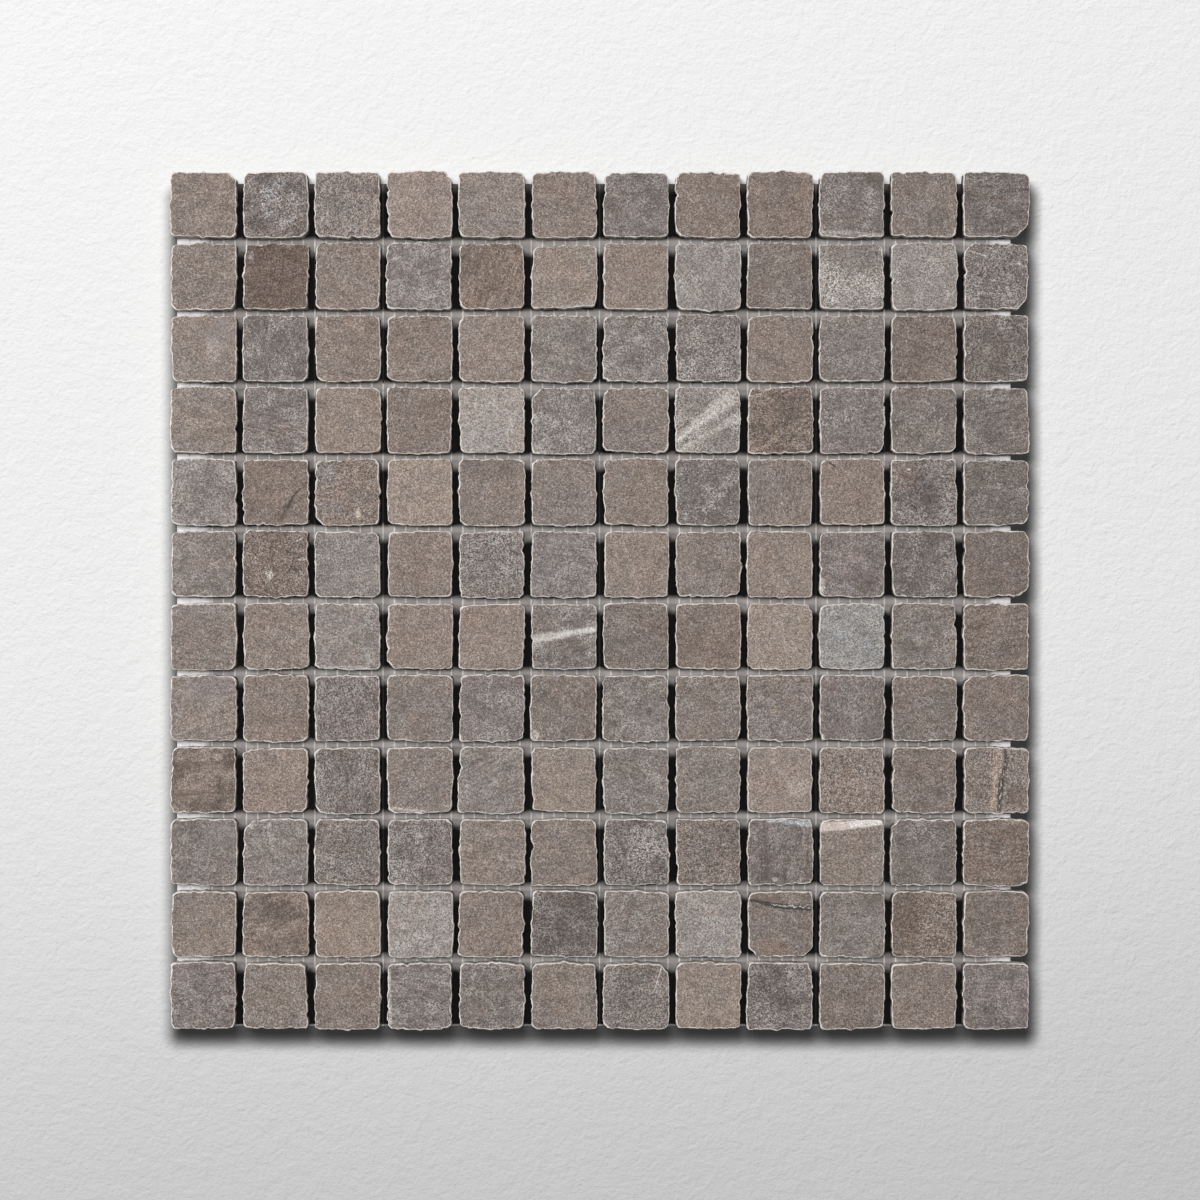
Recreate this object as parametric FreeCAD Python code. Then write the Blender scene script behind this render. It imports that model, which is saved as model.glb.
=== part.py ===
import FreeCAD, Part
import os
import random

# Mosaic tile sheet: worn square stone chips in a square grid, bonded by their backs to a net
# of glass-fibre strands whose meshes are closed by a thin film. Millimetres. The sheet lies
# face up, the top of its face is towards +Y, and the origin is under the middle of the grid,
# on the plane that the sheet rests on.

# Grid of chips
rows = 12
columns = 12
chip_width = 22.9  # across the sheet, before its sides bow
chip_depth = 23.2  # up the sheet
column_joint = 2.7  # between the columns
row_joint = 2.37  # between the rows, which stand a little closer

# One chip
chip_thickness = 9.5
thickness_scatter = 0.2  # most that a chip is thicker or thinner
corner_scatter = 0.35  # most that a corner lies off its place, each way
twist = 0.5  # most that a chip is turned, degrees
least_bow = 0.05  # least and most that a side stands out between its corners
most_bow = 0.28
bow_drift = 4.0  # most that the bow's crest lies off the middle of its side
corner_cut = 1.05  # leg of the flat worn across a corner of the outline
cut_scatter = 0.5  # most that this leg is longer or shorter
worn_arris = 0.5  # leg of the bevel worn round the face

# Net, with its film between the two layers of strands. It is cut a little smaller than the
# grid and set towards its bottom left corner: how far each edge lies inside the grid
net_inset_left = 1.2
net_inset_right = 5.5
net_inset_bottom = 0.1
net_inset_top = 3.4
strand_pitch = 4.05
strand_width = 0.6
strand_thickness = 0.2
film_thickness = 0.1

# Corners of a chip, anticlockwise as seen on the face
corner_signs = {
    "bottom_left": (-1, -1),
    "bottom_right": (1, -1),
    "top_right": (1, 1),
    "top_left": (-1, 1),
}

# Chips with a corner broken off further than the rest: the leg of the break, by row from
# the top and column from the left
broken_corners = {
    (1, 1): {"top_right": 2.6},
    (1, 2): {"bottom_right": 2.4},
    (1, 4): {"top_right": 3.1},
    (1, 12): {"bottom_right": 4.2},
    (2, 12): {"top_left": 3.0, "bottom_right": 3.6},
    (4, 6): {"top_left": 3.2},
    (5, 3): {"bottom_left": 3.0},
    (6, 12): {"bottom_right": 3.2},
    (7, 4): {"bottom_left": 2.6},
    (8, 12): {"top_left": 2.6},
    (10, 2): {"top_left": 3.4},
    (10, 11): {"top_left": 2.8},
    (11, 9): {"bottom_left": 2.9, "bottom_right": 3.1},
    (12, 7): {"top_right": 2.8},
}

# Chips with a side sawn out of square: how far a corner is moved, towards +X and +Y
slanted_corners = {
    (1, 7): {"top_left": (0.0, -0.6)},
    (2, 6): {"top_left": (0.8, -1.2), "bottom_right": (0.0, 0.8)},
    (4, 7): {"bottom_left": (0.0, 0.7)},
    (7, 5): {"top_left": (0.0, -1.0), "bottom_right": (-0.5, 0.0)},
    (9, 2): {"top_left": (0.0, -0.7)},
    (9, 5): {"top_left": (0.7, 0.0), "bottom_left": (-0.6, 0.0)},
    (9, 6): {"bottom_left": (0.0, 0.7)},
    (10, 7): {"top_right": (-0.5, 0.0)},
    (12, 2): {"top_right": (-0.8, 0.0)},
}

column_pitch = chip_width + column_joint
row_pitch = chip_depth + row_joint
grid_width = columns * column_pitch - column_joint
grid_depth = rows * row_pitch - row_joint
warp_level = strand_thickness + film_thickness
chip_level = warp_level + strand_thickness
net_left = -grid_width / 2 + net_inset_left
net_bottom = -grid_depth / 2 + net_inset_bottom
net_width = grid_width - net_inset_left - net_inset_right
net_depth = grid_depth - net_inset_bottom - net_inset_top


def chip_corners(place, scatter):
    """The four corners of a chip about its own middle, before they are worn."""
    corners = []
    for name, (across, up) in corner_signs.items():
        moved_x, moved_y = slanted_corners.get(place, {}).get(name, (0.0, 0.0))
        x = across * chip_width / 2 + scatter.uniform(-corner_scatter, corner_scatter) + moved_x
        y = up * chip_depth / 2 + scatter.uniform(-corner_scatter, corner_scatter) + moved_y
        corners.append(FreeCAD.Vector(x, y, 0))
    return corners


def chip_outline(place, scatter):
    """Outline of a chip: bowed sides between worn corners."""
    corners = chip_corners(place, scatter)
    broken = broken_corners.get(place, {})
    cuts = [
        broken.get(name, corner_cut + scatter.uniform(-cut_scatter, cut_scatter))
        for name in corner_signs
    ]
    points = []
    for index, corner in enumerate(corners):
        following = (index + 1) % len(corners)
        side = corners[following] - corner
        along = FreeCAD.Vector(side).normalize()
        outward = FreeCAD.Vector(along.y, -along.x, 0)
        crest = side.Length / 2 + scatter.uniform(-bow_drift, bow_drift)
        bow = scatter.uniform(least_bow, most_bow)
        points.append(corner + along * cuts[index])
        points.append(corner + along * crest + outward * bow)
        points.append(corners[following] - along * cuts[following])
    return Part.makePolygon(points + points[:1])


def chip(row, column):
    """One chip: its outline raised from the net, with a worn arris round its face."""
    place = (row, column)
    scatter = random.Random(100 * row + column)
    thickness = chip_thickness + scatter.uniform(-thickness_scatter, thickness_scatter)
    block = Part.Face(chip_outline(place, scatter)).extrude(FreeCAD.Vector(0, 0, thickness))
    face_edges = [edge for edge in block.Edges if edge.BoundBox.ZMin > thickness / 2]
    block = block.makeChamfer(worn_arris, face_edges)
    block.rotate(FreeCAD.Vector(), FreeCAD.Vector(0, 0, 1), scatter.uniform(-twist, twist))
    middle_x = (column - 0.5) * column_pitch - (grid_width + column_joint) / 2
    middle_y = (grid_depth + row_joint) / 2 - (row - 0.5) * row_pitch
    block.translate(FreeCAD.Vector(middle_x, middle_y, chip_level))
    return block


def tile_row(row):
    """The chips of one row, which don't touch each other."""
    return Part.makeCompound([chip(row, column) for column in range(1, columns + 1)])


def strand_starts(first, reach):
    """Near edges of one layer's strands, evenly spaced from first to the far edge of the net."""
    gaps = round((reach - strand_width) / strand_pitch)
    spacing = (reach - strand_width) / gaps
    return [first + index * spacing for index in range(gaps + 1)]


def net_weft():
    """Lower strands of the net, running across the sheet."""
    strands = []
    for y in strand_starts(net_bottom, net_depth):
        corner = FreeCAD.Vector(net_left, y, 0)
        strands.append(Part.makeBox(net_width, strand_width, strand_thickness, corner))
    return Part.makeCompound(strands)


def bond_film():
    """The film that closes the meshes of the net."""
    corner = FreeCAD.Vector(net_left, net_bottom, strand_thickness)
    return Part.makeBox(net_width, net_depth, film_thickness, corner)


def net_warp():
    """Upper strands of the net, running up the sheet, on which the chips are bonded."""
    strands = []
    for x in strand_starts(net_left, net_width):
        corner = FreeCAD.Vector(x, net_bottom, warp_level)
        strands.append(Part.makeBox(strand_width, net_depth, strand_thickness, corner))
    return Part.makeCompound(strands)


def save(name, shape):
    shape.exportStep(f"parts/{name}.step")
    print(name, len(shape.Solids), "solids", round(shape.Volume), "mm3")


os.makedirs("parts", exist_ok=True)
for row in range(1, rows + 1):
    save(f"tile_row_{row:02d}", tile_row(row))
save("net_weft", net_weft())
save("bond_film", bond_film())
save("net_warp", net_warp())
print("grid", round(grid_width, 1), "by", round(grid_depth, 1), "mm")
print("net", round(net_width, 1), "by", round(net_depth, 1), "mm")
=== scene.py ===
import bpy
import math
import random
from mathutils import Matrix, Vector, noise


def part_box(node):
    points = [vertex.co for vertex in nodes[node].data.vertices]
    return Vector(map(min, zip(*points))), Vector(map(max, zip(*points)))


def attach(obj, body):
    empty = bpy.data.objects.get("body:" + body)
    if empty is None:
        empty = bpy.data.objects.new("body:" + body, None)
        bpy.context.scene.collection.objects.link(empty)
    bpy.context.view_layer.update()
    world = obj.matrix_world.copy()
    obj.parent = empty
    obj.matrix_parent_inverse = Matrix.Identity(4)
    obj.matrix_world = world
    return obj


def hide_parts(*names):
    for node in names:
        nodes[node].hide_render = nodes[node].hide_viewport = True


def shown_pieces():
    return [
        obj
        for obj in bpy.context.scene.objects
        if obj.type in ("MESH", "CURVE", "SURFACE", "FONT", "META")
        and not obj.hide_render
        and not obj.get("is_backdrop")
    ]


# Mosaic tile sheet: 144 tumbled stone chips on a net of glass-fibre strands. Metres.
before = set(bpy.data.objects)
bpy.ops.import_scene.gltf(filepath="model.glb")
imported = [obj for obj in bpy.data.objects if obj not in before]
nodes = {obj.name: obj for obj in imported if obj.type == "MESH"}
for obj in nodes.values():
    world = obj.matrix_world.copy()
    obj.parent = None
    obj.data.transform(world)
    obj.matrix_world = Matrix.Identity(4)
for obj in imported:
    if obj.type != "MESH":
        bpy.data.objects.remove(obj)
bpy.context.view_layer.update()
print("frame loaded:", len(nodes), "nodes")

sheet = {"rows": 12, "columns": 12, "pitch": 0.0256, "rowPitch": 0.02557, "chipSide": 0.0229, "seed": 7}


# small helpers

def clearSelection():
    if bpy.context.mode != "OBJECT":
        bpy.ops.object.mode_set(mode="OBJECT")
    bpy.ops.object.select_all(action="DESELECT")


def makeActive(piece):
    clearSelection()
    piece.select_set(True)
    bpy.context.view_layer.objects.active = piece


def applyPlace(piece):
    makeActive(piece)
    bpy.ops.object.transform_apply(location=True, rotation=True, scale=True)


def joinPieces(pieces, name):
    clearSelection()
    for piece in pieces:
        piece.select_set(True)
    bpy.context.view_layer.objects.active = pieces[0]
    bpy.ops.object.join()
    joined = bpy.context.object
    joined.name = name
    joined.data.name = name
    return joined


def copyPiece(piece):
    copied = piece.copy()
    copied.data = piece.data.copy()
    bpy.context.scene.collection.objects.link(copied)
    return copied


def applyModifiers(piece):
    makeActive(piece)
    for modifier in list(piece.modifiers):
        bpy.ops.object.modifier_apply(modifier=modifier.name)


def linear(red, green, blue):
    # a colour read off the photograph, 0 to 255, as Blender's own numbers
    def one(level):
        level = level / 255
        return level / 12.92 if level < 0.04045 else ((level + 0.055) / 1.055) ** 2.4
    return (one(red), one(green), one(blue), 1.0)


# shader helpers

def addNode(tree, kind, settings=None, inputs=None):
    made = tree.nodes.new("ShaderNode" + kind)
    for name, value in (settings or {}).items():
        setattr(made, name, value)
    for key, value in (inputs or {}).items():
        if isinstance(value, bpy.types.NodeSocket):
            tree.links.new(value, made.inputs[key])
        else:
            made.inputs[key].default_value = value
    return made


def maths(tree, operation, first, second=0.0, clamp=False):
    settings = {"operation": operation, "use_clamp": clamp}
    return addNode(tree, "Math", settings, {0: first, 1: second}).outputs[0]


def times(tree, first, second, clamp=False):
    return maths(tree, "MULTIPLY", first, second, clamp)


def plus(tree, first, second):
    return maths(tree, "ADD", first, second)


def minus(tree, first, second):
    return maths(tree, "SUBTRACT", first, second)


def centred(tree, value):
    return minus(tree, value, 0.5)


def spread(tree, value, low, high, toLow=0.0, toHigh=1.0, smooth=False):
    kind = "SMOOTHSTEP" if smooth else "LINEAR"
    return addNode(tree, "MapRange", {"interpolation_type": kind},
                   {0: value, 1: low, 2: high, 3: toLow, 4: toHigh}).outputs[0]


def grainField(tree, where, scale, detail=2.0, rough=0.5, warp=0.0):
    return addNode(tree, "TexNoise", None, {"Vector": where, "Scale": scale, "Detail": detail,
                                            "Roughness": rough, "Distortion": warp}).outputs[0]


def mixColour(tree, amount, first, second, blend="MIX"):
    made = addNode(tree, "Mix", {"data_type": "RGBA", "blend_type": blend}, {0: amount, 6: first, 7: second})
    return made.outputs[2]


def vectorMaths(tree, operation, first, second=None, scale=None):
    made = addNode(tree, "VectorMath", {"operation": operation}, {0: first})
    if second is not None:
        if isinstance(second, bpy.types.NodeSocket):
            tree.links.new(second, made.inputs[1])
        else:
            made.inputs[1].default_value = second
    if scale is not None:
        if isinstance(scale, bpy.types.NodeSocket):
            tree.links.new(scale, made.inputs["Scale"])
        else:
            made.inputs["Scale"].default_value = scale
    return made.outputs["Value"] if operation in ("DOT_PRODUCT", "LENGTH") else made.outputs[0]


def grey(tree, value):
    return addNode(tree, "CombineColor", None, {0: value, 1: value, 2: value}).outputs[0]


def darkened(tree, colour, amount):
    return mixColour(tree, 1.0, colour, grey(tree, amount), "MULTIPLY")


def addBump(tree, shader, height, strength, distance):
    bump = addNode(tree, "Bump", None, {"Strength": strength, "Distance": distance, "Height": height})
    tree.links.new(bump.outputs[0], shader.inputs["Normal"])


def newMaterial(name):
    material = bpy.data.materials.new(name)
    material.use_nodes = True
    shader = material.node_tree.nodes["Principled BSDF"]
    return material, material.node_tree, shader


def objectPlace(tree):
    return addNode(tree, "TexCoord").outputs["Object"]


# camera, straight above the sheet

view = {
    "height": 1.61,
    "frameWidth": 0.4263,      # what the picture takes in at the level of the faces
    "faceLevel": 0.010,
    "across": 0.00005, "up": 0.00012,
    "sensor": 36.0,
}
bpy.ops.object.camera_add(location=(view["across"], view["up"], view["height"]), rotation=(0.0, 0.0, 0.0))
camera = bpy.context.object
camera.name = "photoCamera"
camera.data.sensor_width = view["sensor"]
camera.data.lens = view["sensor"] * (view["height"] - view["faceLevel"]) / view["frameWidth"]
camera.data.clip_start, camera.data.clip_end = 0.05, 50.0
bpy.context.scene.camera = camera
print("camera placed")


# lamps: one at each side of the sheet, a softer one over its top left corner and a steep one that
# reaches the net in the joints. The floor has a lamp of its own over that corner, so that its
# shadow is as deep as the photograph's

lamps = {
    "leftLamp": {"slope": (-0.72, 0.07), "size": (1.0, 0.34), "level": 0.41, "lights": "sheet"},
    "rightLamp": {"slope": (0.72, 0.07), "size": (1.0, 0.34), "level": 0.18, "lights": "sheet"},
    "cornerLamp": {"slope": (-0.38, 0.36), "size": (0.5, 0.6), "level": 0.38, "lights": "sheet"},
    "jointLamp": {"slope": (0.0, 0.11), "size": (0.5, 0.45), "level": 0.75, "lights": "net"},
    "floorLamp": {"slope": (-0.25, 0.52), "size": (1.9, 1.9), "level": 0.93, "lights": "floor"},
}
lampHeight = 3.0
skyLight, skySeen = 0.035, 0.86    # how bright the sky is as a light, and as it is seen
litBy = {}
for name in ("sheet", "net", "floor"):
    litBy[name] = bpy.data.collections.new(name + "Lit")
    bpy.context.scene.collection.children.link(litBy[name])
for name, lamp in lamps.items():
    x, y = (slope * lampHeight for slope in lamp["slope"])
    bpy.ops.object.light_add(type="AREA", location=(x, y, lampHeight), rotation=(0.0, 0.0, 0.0))
    made = bpy.context.object
    made.name = name
    made.data.shape = "RECTANGLE"
    made.data.size, made.data.size_y = lamp["size"]
    fall = (1 + lamp["slope"][0] ** 2 + lamp["slope"][1] ** 2) ** 2
    made.data.energy = lamp["level"] * math.pi ** 2 * lampHeight ** 2 * fall  # level 1 shows white as white
    made.light_linking.receiver_collection = litBy[lamp["lights"]]

world = bpy.data.worlds.new("studio")
bpy.context.scene.world = world
world.use_nodes = True
skyTree = world.node_tree
skyNode = skyTree.nodes["Background"]
seen = addNode(skyTree, "LightPath")
seenAny = maths(skyTree, "MAXIMUM", seen.outputs["Is Camera Ray"], seen.outputs["Is Glossy Ray"])
skyTree.links.new(spread(skyTree, seenAny, 0.0, 1.0, skyLight, skySeen), skyNode.inputs["Strength"])
skyNode.inputs["Color"].default_value = (1.0, 1.0, 1.0, 1.0)
bpy.context.scene.view_settings.view_transform = "Standard"
print("lamps placed")


# floor: pale plaster, for the picture alone

floor = {
    # painted shade: the floor's colour runs from light to shade along fallDirection, between fallFrom and
    # fallTo, with a soft drift, as light falling off
    "size": 8.0, "light": (242, 242, 242), "shade": (214, 214, 215), "fallFrom": -0.005, "fallTo": 0.25,
    "fallDirection": (0.06, -1.0, 0.0), "driftScale": 9.0, "drift": 0.03,
    # painted shadow: the soft shade painted on the floor close round the sheet, where the floor also glows
    # faintly: its middle, how far it reaches each way, how wide its edge is, how much light it leaves and
    # how dark it is by itself, set by that faint glow
    "paintedShadowMiddle": (0.0007, -0.0059), "paintedShadowReach": (0.1507, 0.1490), "paintedShadowEdge": 0.0080,
    "paintedShadowLeft": 0.10, "paintedShadowGlow": 0.036,
    # the trowelled relief, broad and fine
    "broadScale": 200.0, "broadDepth": 0.60, "fineScale": 620.0, "fineDepth": 0.5, "relief": 0.00095,
}


def plasterMaterial():
    material, tree, shader = newMaterial("floorPlaster")
    where = objectPlace(tree)
    # painted shade: the floor is painted darker towards the bottom and right, as the light falls off
    fall = vectorMaths(tree, "DOT_PRODUCT", where, floor["fallDirection"])
    drift = times(tree, centred(tree, grainField(tree, where, floor["driftScale"], 3.0)), floor["drift"])
    fall = plus(tree, fall, drift)
    shade = spread(tree, fall, floor["fallFrom"], floor["fallTo"], smooth=True)
    colour = mixColour(tree, shade, linear(*floor["light"]), linear(*floor["shade"]))
    # painted shadow: the floor's colour is darkened in a soft rounded square round the sheet, lower than its
    # middle
    offset = vectorMaths(tree, "SUBTRACT", where, (*floor["paintedShadowMiddle"], 0.0))
    beyond = vectorMaths(tree, "ABSOLUTE", offset)
    beyond = vectorMaths(tree, "SUBTRACT", beyond, (*floor["paintedShadowReach"], 0.0))
    beyond = vectorMaths(tree, "LENGTH", vectorMaths(tree, "MAXIMUM", beyond, (0.0, 0.0, 0.0)))
    left = spread(tree, beyond, 0.0, floor["paintedShadowEdge"], floor["paintedShadowLeft"], 1.0, smooth=True)
    colour = darkened(tree, colour, left)
    tree.links.new(colour, shader.inputs["Base Color"])
    # painted light: within the painted shadow the floor glows faintly, though it is no lamp
    shader.inputs["Emission Color"].default_value = (1.0, 1.0, 1.0, 1.0)
    paintedShadowEmission = spread(tree, left, 0.0, 1.0, floor["paintedShadowGlow"], 0.0)
    tree.links.new(paintedShadowEmission, shader.inputs["Emission Strength"])
    shader.inputs["Roughness"].default_value = 1.0
    shader.inputs["Specular IOR Level"].default_value = 0.0
    fine = grainField(tree, where, floor["fineScale"], 4.0, 0.7)
    broad = grainField(tree, where, floor["broadScale"], 3.0, 0.55, 0.5)
    height = plus(tree, times(tree, broad, floor["broadDepth"]), times(tree, fine, floor["fineDepth"]))
    addBump(tree, shader, height, 0.9, floor["relief"])
    return material


bpy.ops.mesh.primitive_plane_add(size=floor["size"], location=(0.0, 0.0, 0.0))
floorPlane = bpy.context.object
floorPlane.name = "floor"
floorPlane.data.materials.append(plasterMaterial())
litBy["floor"].objects.link(floorPlane)
floorPlane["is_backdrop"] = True
print("floor laid")


# stone: what the chips are, by row from the top and column from the left

stoneKinds = {
    "brown": {"colour": (133, 120, 112), "cloud": 0.10, "streak": 0.20, "dark": 0.15, "likely": 5},
    "taupe": {"colour": (130, 119, 112), "cloud": 0.15, "streak": 0.25, "dark": 0.15, "likely": 4},
    "rose": {"colour": (139, 126, 118), "cloud": 0.05, "streak": 0.10, "dark": 0.10, "likely": 3},
    "ash": {"colour": (127, 118, 113), "cloud": 0.30, "streak": 0.30, "dark": 0.25, "likely": 2},
    "tan": {"colour": (148, 134, 124), "cloud": 0.05, "streak": 0.05, "dark": 0.05},
    "grey": {"colour": (127, 119, 115), "cloud": 0.45, "streak": 0.25, "dark": 0.35},
    "lilac": {"colour": (125, 116, 113), "cloud": 0.35, "streak": 0.40, "dark": 0.30},
    "pale": {"colour": (148, 140, 135), "cloud": 0.50, "streak": 0.15, "dark": 0.10},
    "slate": {"colour": (136, 135, 134), "cloud": 0.30, "streak": 0.20, "dark": 0.15},
    "umber": {"colour": (126, 112, 103), "cloud": 0.15, "streak": 0.45, "dark": 0.60},
    "smoke": {"colour": (123, 114, 110), "cloud": 0.40, "streak": 0.40, "dark": 0.50},
    "dun": {"colour": (124, 111, 103), "cloud": 0.10, "streak": 0.35, "dark": 0.20},
}
chipsOfKind = {
    "tan": [(2, 6), (7, 9), (11, 3), (12, 8), (9, 6), (5, 4)],
    "grey": [(3, 7), (3, 8), (4, 6), (6, 3), (6, 5), (5, 8), (8, 7), (9, 7), (10, 2), (10, 7), (7, 3),
             (5, 1)],
    "lilac": [(2, 4), (4, 2), (6, 6), (6, 10), (8, 3), (8, 5), (8, 10), (12, 1), (12, 4), (12, 12), (4, 10)],
    "pale": [(2, 10), (2, 11), (4, 5), (11, 4), (11, 8), (2, 8), (4, 8)],
    "slate": [(7, 10)],
    "umber": [(2, 2), (2, 5), (4, 9), (9, 1), (11, 2), (11, 11)],
    "smoke": [(1, 2), (1, 7), (1, 10), (2, 12), (3, 12), (7, 6), (9, 3), (12, 9), (5, 11), (10, 9), (1, 12),
              (4, 12), (6, 11), (10, 4), (11, 6), (3, 2)],
    "ash": [(3, 6), (3, 10), (4, 11), (6, 1), (10, 3), (10, 11), (12, 5), (12, 7), (5, 12), (11, 7),
            (11, 10), (9, 5), (1, 3)],
    "taupe": [(1, 11), (2, 9), (4, 1), (7, 7), (8, 4), (8, 6), (8, 8), (9, 4), (9, 8), (9, 11), (12, 2),
              (12, 10), (11, 9), (5, 9), (6, 8), (10, 8), (1, 5), (8, 1), (5, 6), (10, 5), (10, 10)],
    "brown": [(1, 1), (1, 6), (4, 4), (5, 5), (2, 3), (11, 12), (6, 12), (12, 3), (7, 2)],
    "dun": [(5, 2), (5, 3), (6, 2), (3, 11), (7, 12), (10, 12)],
    "rose": [(1, 4), (3, 5), (5, 7), (5, 10), (6, 7), (6, 9), (7, 4), (7, 5), (2, 7), (9, 2), (9, 9), (3, 1),
             (4, 3)],
}
kindOfChip = {place: kind for kind, places in chipsOfKind.items() for place in places}
# chips a step lighter or darker than their kind; those named twice are two steps off
lighterChips = [(1, 3), (1, 4), (1, 5), (2, 4), (3, 6), (4, 1), (4, 5), (5, 1), (5, 1), (5, 3), (6, 1),
                (6, 3), (6, 6), (7, 3), (7, 3), (7, 10), (8, 1), (9, 1), (9, 5), (9, 9), (10, 5),
                (10, 10), (11, 2)]
darkerChips = [(1, 2), (1, 8), (1, 9), (1, 11), (1, 12), (2, 2), (2, 6), (2, 8), (2, 9), (2, 10), (2, 11),
               (3, 2), (3, 9), (3, 12), (4, 4), (4, 8), (4, 11), (5, 7), (5, 10), (5, 8), (5, 8), (5, 12),
               (5, 12), (6, 2), (6, 11), (6, 11), (6, 12), (6, 12), (7, 7), (7, 8), (8, 6), (8, 11),
               (8, 12), (9, 6), (9, 11), (10, 7), (10, 7), (10, 8), (10, 11), (11, 3), (11, 6), (11, 6),
               (11, 9), (11, 12), (12, 3), (12, 5), (12, 7), (12, 8), (12, 10)]
toneStep = 0.10
toneScatter = 0.02         # most that a chip is lighter or darker than that
# chips whose grain stands out more than on the rest
coarseChips = [(1, 2), (1, 3), (2, 2), (2, 10), (2, 12), (3, 8), (3, 12), (4, 8), (4, 9), (5, 3), (5, 11),
               (6, 2), (6, 5), (8, 3), (9, 3), (9, 10), (9, 12), (10, 3), (10, 4), (10, 7), (10, 8),
               (11, 6), (11, 11), (12, 7), (12, 9)]
coarseGrain, plainGrain = 1.36, 0.90
tiltScatter = 0.35         # most that a bed is turned against the sheet, radians
uprightBeds = [(1, 11), (2, 5), (3, 2), (4, 6), (5, 9), (8, 3), (8, 6), (9, 12), (10, 9), (9, 3),
               (1, 3), (8, 10)]

stoneLook = {
    "grainScale": 2050.0, "grainDepth": 1.55,
    "crystalScale": 2900.0, "crystalDepth": 1.25,
    "fineScale": 3300.0,
    "sharpness": 3.2,          # how much more the light grains stand out than the dark ones
    "mottleScale": 230.0, "mottleDepth": 0.85,
    "streakScale": 760.0, "streakDepth": 4.0, "streakReach": 0.15,
    "seamScale": 210.0, "seamReach": 0.4, "seamWidth": 0.014,
    "patchScale": 95.0, "driftScale": 75.0, "cloudScale": 130.0, "fleckScale": 420.0,
    "speckScale": 1700.0,
    # how much each covers the stone where it is fullest
    "stainFull": 0.75, "fleckFull": 0.12, "cloudFull": 1.25, "speckFull": 0.60, "rimFull": 0.90,
    "rimScale": 900.0, "rimRagged": 1.9, "relief": 0.00016,
    "paleDust": (202, 197, 192), "darkStain": (74, 64, 58), "rust": (152, 124, 100),
    "warmTint": (1.022, 0.995, 0.975, 1.0), "coolTint": (0.982, 0.998, 1.022, 1.0),
    "rimPale": (238, 231, 224),
}


def chipPoint(place, across, down):
    # a place on a chip's face, as parts of its side from the left and from the top
    row, column = place
    middleX = (column - 6.5) * sheet["pitch"]
    middleY = (6.5 - row) * sheet["rowPitch"]
    side = sheet["chipSide"]
    return Vector((middleX + (across - 0.5) * side, middleY + (0.5 - down) * side, 0.0))


# Veins, cracks and stains that single chips show. A line runs between two points, with its width at
# each in millimetres; a spot has its reach each way in parts of the chip's side
def line(start, end, width, colour, full, soft=0.3, rough=0.3, depth=0.0, grainy=0.45):
    return {"line": (start, end), "width": width, "colour": colour, "full": full, "soft": soft,
            "rough": rough, "depth": depth, "grainy": grainy}


def spot(at, reach, colour, full, rough=0.5, grainy=0.3, depth=0.0):
    return {"spot": at, "reach": reach, "colour": colour, "full": full, "rough": rough,
            "depth": depth, "grainy": grainy}


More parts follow.
